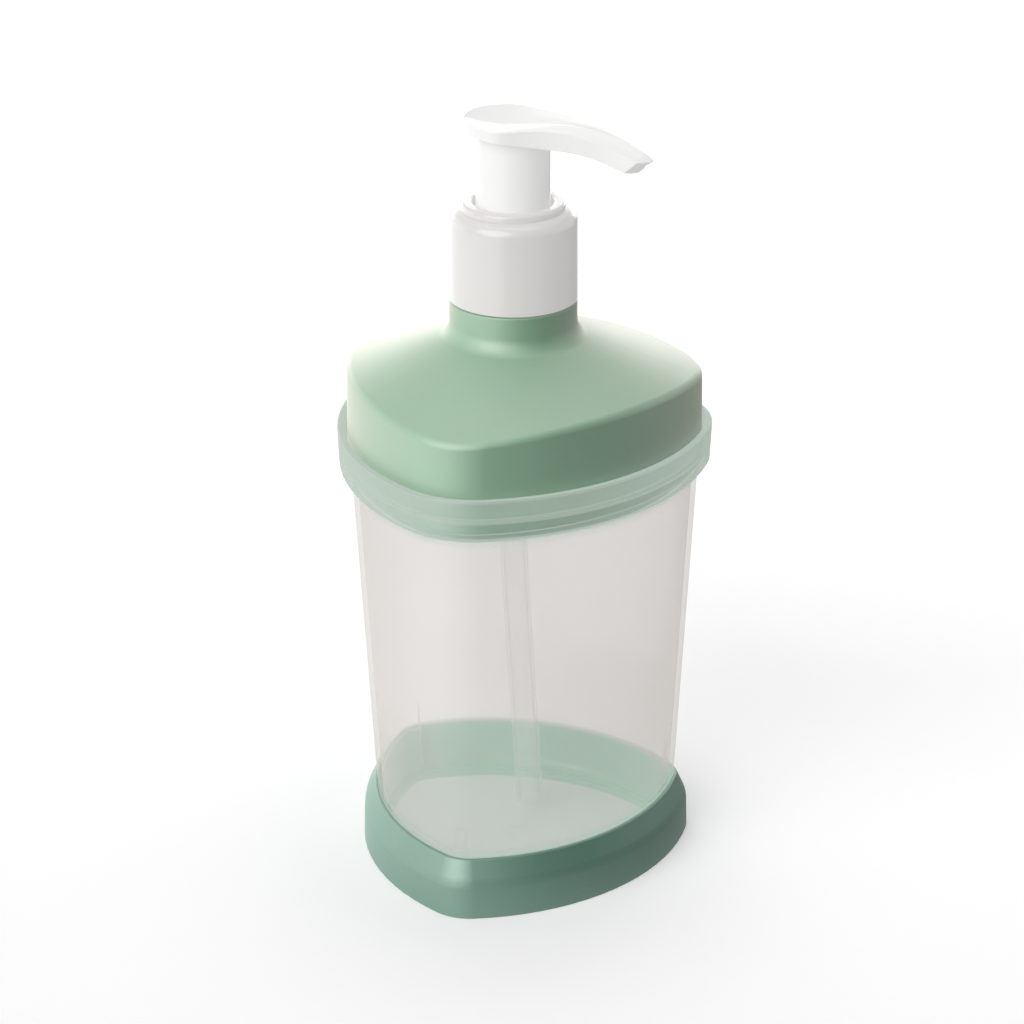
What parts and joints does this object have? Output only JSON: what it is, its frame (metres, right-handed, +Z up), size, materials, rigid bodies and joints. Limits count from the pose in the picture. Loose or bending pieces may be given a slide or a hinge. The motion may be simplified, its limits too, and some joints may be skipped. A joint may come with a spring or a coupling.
{
  "type": "soap pump bottle",
  "caption": "Three-cornered frosted soap bottle in a green foot ring, with a green press-on lid whose neck carries a white screw-on lotion pump with a long drooping spout.",
  "frame": {"origin": "under the middle of the bottle's bounding box, on the plane its foot ring stands on; the pump's axis stands 3.3 mm behind it, at X 0, Y +3.3 mm", "axes": "+Z up along the pump's axis; one corner of the bottle points to -Y and one flat side faces +Y; the spout points to +X at rest"},
  "size_m": [0.0938, 0.0944, 0.1965],
  "materials": {
    "green_plastic": "satin, opaque",
    "frosted_plastic": "frosted, translucent",
    "white_plastic": "glossy moulded",
    "natural_plastic": "translucent, undyed",
    "sealing_foam": "soft, matt",
    "spring_steel": "drawn wire and ground balls"
  },
  "bodies": {
    "bottle": {"bottle_body": "frosted_plastic", "foot_ring": "green_plastic"},
    "lid": {"lid": "green_plastic"},
    "pump": {"pump_housing": "natural_plastic", "lock_ring": "white_plastic", "neck_gasket": "sealing_foam", "dip_tube": "natural_plastic", "pump_spring": "spring_steel"},
    "closure": {"pump_closure": "white_plastic"},
    "piston": {"pump_piston": "natural_plastic"},
    "plunger": {"pump_head": "white_plastic", "pump_stem": "white_plastic", "stem_plug": "natural_plastic"},
    "inlet_valve": {"inlet_ball": "spring_steel"},
    "outlet_valve": {"outlet_ball": "spring_steel"}
  },
  "joints": [
    {"name": "lid_lift", "type": "slide", "parent": "bottle", "child": "lid", "axis": [0, 0, 1], "range_m": [0, 0.125]},
    {"name": "pump_lift", "type": "slide", "parent": "lid", "child": "pump", "axis": [0, 0, 1], "range_m": [0, 0.00635]},
    {"name": "closure_turn", "type": "hinge", "parent": "pump", "child": "closure", "pos_m": [0, 0.0033, 0.161], "axis": [0, 0, 1], "range_deg": [0, 540]},
    {"name": "pump_stroke", "type": "slide", "parent": "pump", "child": "piston", "axis": [0, 0, -1], "range_m": [0, 0.013], "stiffness_N_per_m": 450, "springref_m": -0.004, "deforming": ["pump_spring"]},
    {"name": "head_swivel", "type": "hinge", "parent": "piston", "child": "plunger", "pos_m": [0, 0.0033, 0.18], "axis": [0, 0, 1], "continuous": true},
    {"name": "inlet_ball_lift", "type": "slide", "parent": "pump", "child": "inlet_valve", "axis": [0, 0, 1], "range_m": [0, 0.0015]},
    {"name": "outlet_ball_lift", "type": "slide", "parent": "plunger", "child": "outlet_valve", "axis": [0, 0, 1], "range_m": [0, 0.0012]}
  ],
  "couplings": [
    {"joint": "pump_lift", "follows": "closure_turn", "m_per_rad": 0.00067322}
  ]
}
